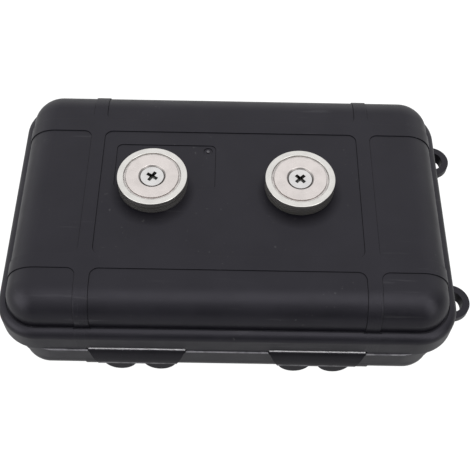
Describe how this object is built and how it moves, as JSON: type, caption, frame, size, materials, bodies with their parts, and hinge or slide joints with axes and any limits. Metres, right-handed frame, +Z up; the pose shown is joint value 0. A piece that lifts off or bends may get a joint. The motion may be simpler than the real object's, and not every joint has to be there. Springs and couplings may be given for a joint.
{
  "type": "magnetic key box",
  "caption": "Flat hinged plastic case with raised bands on its lid, pot magnets on top, front snap latches and lanyard eyes at one end.",
  "frame": {"origin": "centre of the case's underside, on the plane that the base stands on", "axes": "+Z up through the lid and its magnets, +X along the length towards the lanyard eyes, -Y the latch side and +Y the hinge side"},
  "size_m": [0.1677, 0.1144, 0.0548],
  "materials": {
    "case_plastic": "fine matte moulded texture, charcoal black",
    "latch_plastic": "smooth satin moulded, charcoal black",
    "seal_rubber": "smooth soft rubber",
    "nickel_cup": "bright nickel plate with fine handling marks",
    "plated_magnet": "satin nickel plate, slightly warm",
    "potting_resin": "sunk resin ring",
    "screw_steel": "zinc plated",
    "nut_steel": "zinc plated, dull",
    "pin_steel": "drawn stainless steel"
  },
  "bodies": {
    "base": {"base_shell": "case_plastic", "lanyard_ring_back": "case_plastic", "lanyard_ring_front": "case_plastic", "hinge_pin_left": "pin_steel", "hinge_pin_right": "pin_steel"},
    "lid": {"lid_shell": "case_plastic", "lid_seal": "seal_rubber", "latch_pin_left": "pin_steel", "magnet_cup_left": "nickel_cup", "ring_magnet_left": "plated_magnet", "potting_ring_left": "potting_resin", "magnet_screw_left": "screw_steel", "washer_left": "nut_steel", "lock_nut_left": "nut_steel", "latch_pin_right": "pin_steel", "magnet_cup_right": "nickel_cup", "ring_magnet_right": "plated_magnet", "potting_ring_right": "potting_resin", "magnet_screw_right": "screw_steel", "washer_right": "nut_steel", "lock_nut_right": "nut_steel"},
    "latch_left": {"latch_left": "latch_plastic"},
    "latch_right": {"latch_right": "latch_plastic"}
  },
  "joints": [
    {"name": "lid_hinge", "type": "hinge", "parent": "base", "child": "lid", "pos_m": [0, 0.0564, 0.0275], "axis": [-1, 0, 0], "range_deg": [0, 180]},
    {"name": "latch_left_pivot", "type": "hinge", "parent": "lid", "child": "latch_left", "pos_m": [-0.0314, -0.0512, 0.0266], "axis": [-1, 0, 0], "range_deg": [0, 50]},
    {"name": "latch_right_pivot", "type": "hinge", "parent": "lid", "child": "latch_right", "pos_m": [0.0314, -0.0512, 0.0266], "axis": [-1, 0, 0], "range_deg": [0, 50]}
  ]
}
